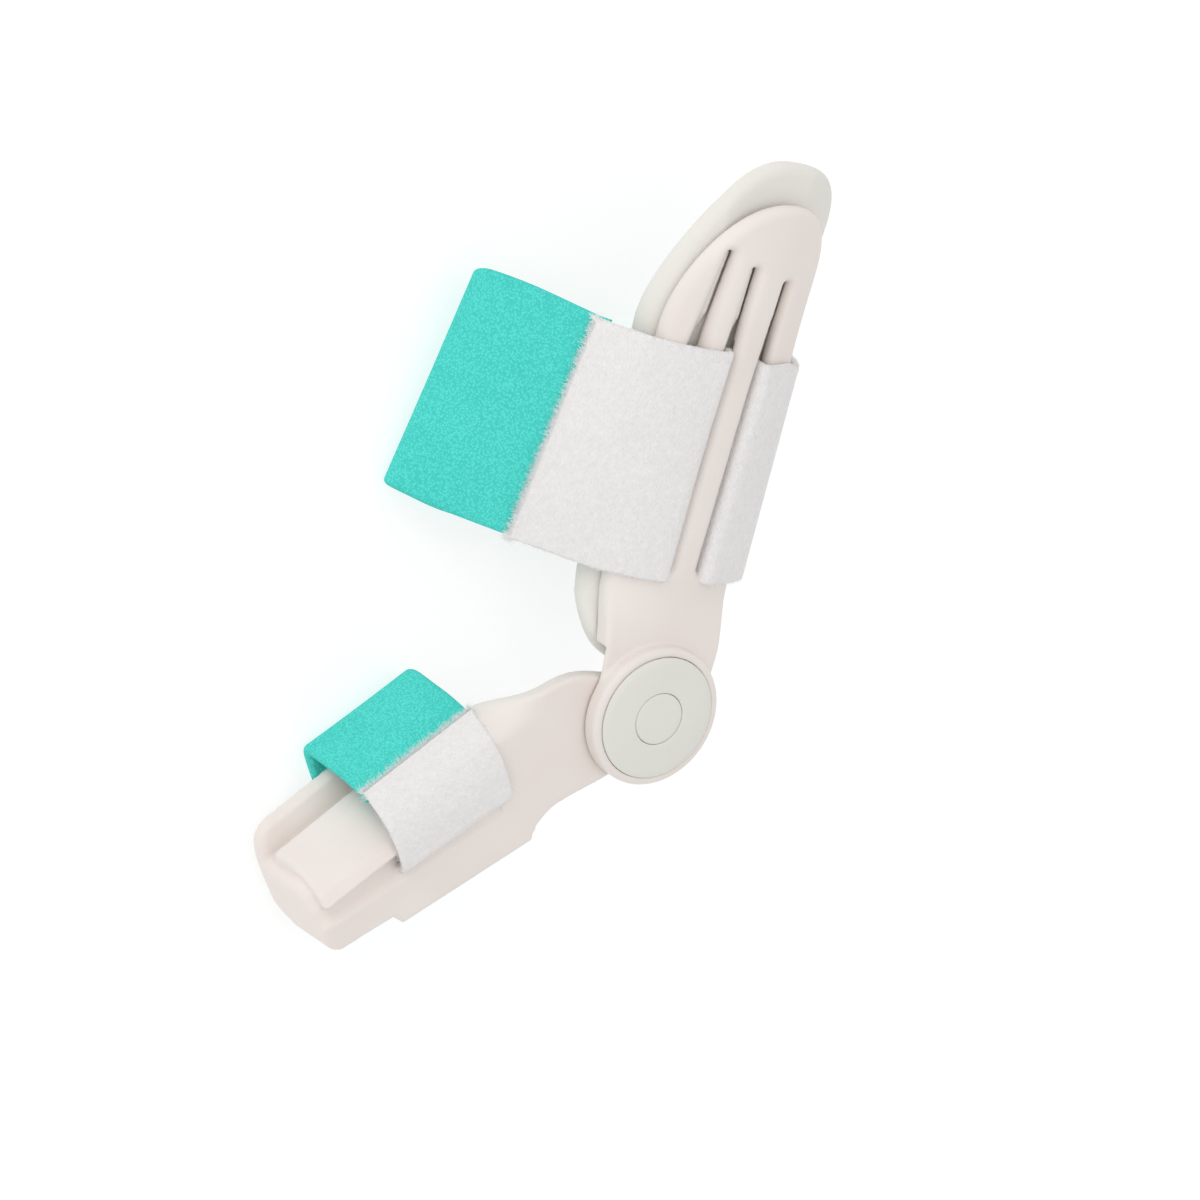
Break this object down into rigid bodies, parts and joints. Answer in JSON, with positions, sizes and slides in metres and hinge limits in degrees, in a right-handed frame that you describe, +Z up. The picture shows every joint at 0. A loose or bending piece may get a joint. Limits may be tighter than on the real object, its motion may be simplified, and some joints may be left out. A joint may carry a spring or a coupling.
{
  "type": "bunion corrector",
  "caption": "Hinged bunion splint: a slotted plastic foot plate with a soft liner and a wide foam strap, hinged to a toe tray with a narrow foam strap.",
  "frame": {"origin": "on the surface that the splint lies on, under the middle of its bounding box", "axes": "+X from the hinge up the foot plate, +Z up, out of the hinge cap's side"},
  "size_m": [0.1734, 0.0948, 0.0573],
  "materials": {
    "shell": "satin moulded, warm white",
    "liner": "soft moulded pad, greenish white",
    "cap": "satin moulded, greenish white",
    "loop_tape": "brushed loop tape, white",
    "strap_foam": "fine-grained foam laminate, teal"
  },
  "bodies": {
    "foot": {"foot_plate": "shell", "foot_liner": "liner", "hinge_cap": "cap", "pivot_pin": "cap", "foot_strap_tape": "loop_tape", "foot_strap_foam": "strap_foam"},
    "toe": {"toe_plate": "shell", "toe_strap_tape": "loop_tape", "toe_strap_foam": "strap_foam"}
  },
  "joints": [
    {"name": "toe_hinge", "type": "hinge", "parent": "foot", "child": "toe", "pos_m": [-0.03171, -0.02554, 0.0402], "axis": [-0.1838, 0, 0.983], "range_deg": [-20, 55]}
  ]
}
